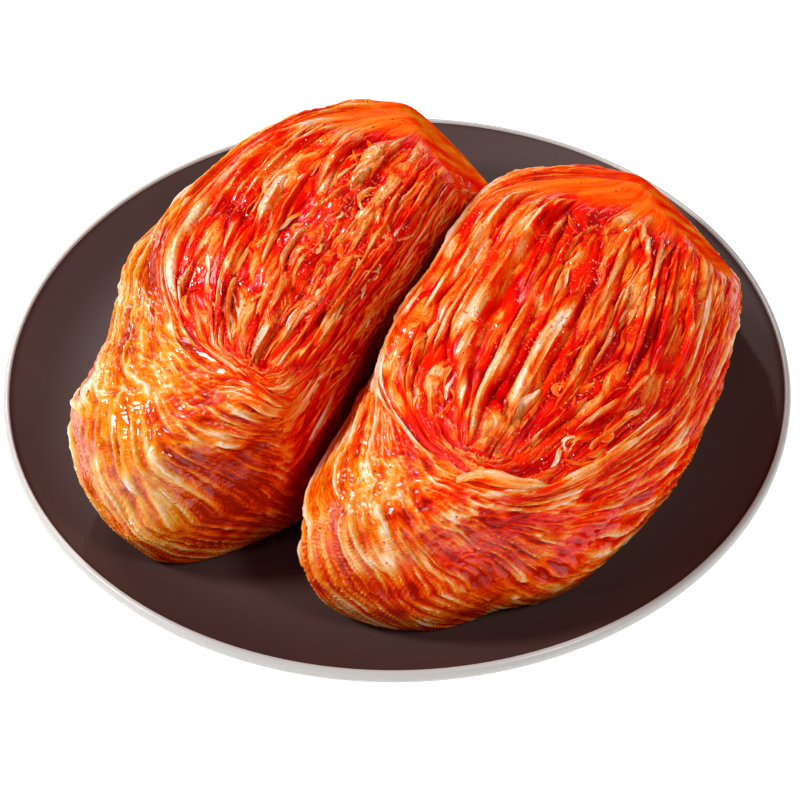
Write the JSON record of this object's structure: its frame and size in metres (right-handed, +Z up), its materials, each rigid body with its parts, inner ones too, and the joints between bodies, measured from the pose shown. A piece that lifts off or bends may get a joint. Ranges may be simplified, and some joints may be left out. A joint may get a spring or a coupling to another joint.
{
  "type": "napa cabbage kimchi on a plate",
  "caption": "Half heads of napa cabbage kimchi lying cut side up next to each other on a round dark serving plate with a white rim.",
  "frame": {"origin": "centre of the plate's foot ring, on the table", "axes": "+Z up; the camera side of the plate is -Y, and the leaf ends of the heads point towards -Y and a little to -X"},
  "size_m": [0.305, 0.305, 0.0882],
  "materials": {
    "plate_glaze": "dark brown satin glaze with a white rim",
    "cabbage_left": "wet cabbage leaves coated with red chili paste",
    "cabbage_right": "wet cabbage leaves coated with red chili paste"
  },
  "bodies": {
    "root": {"plate": "plate_glaze", "kimchi_left": "cabbage_left", "kimchi_right": "cabbage_right"}
  },
  "joints": []
}
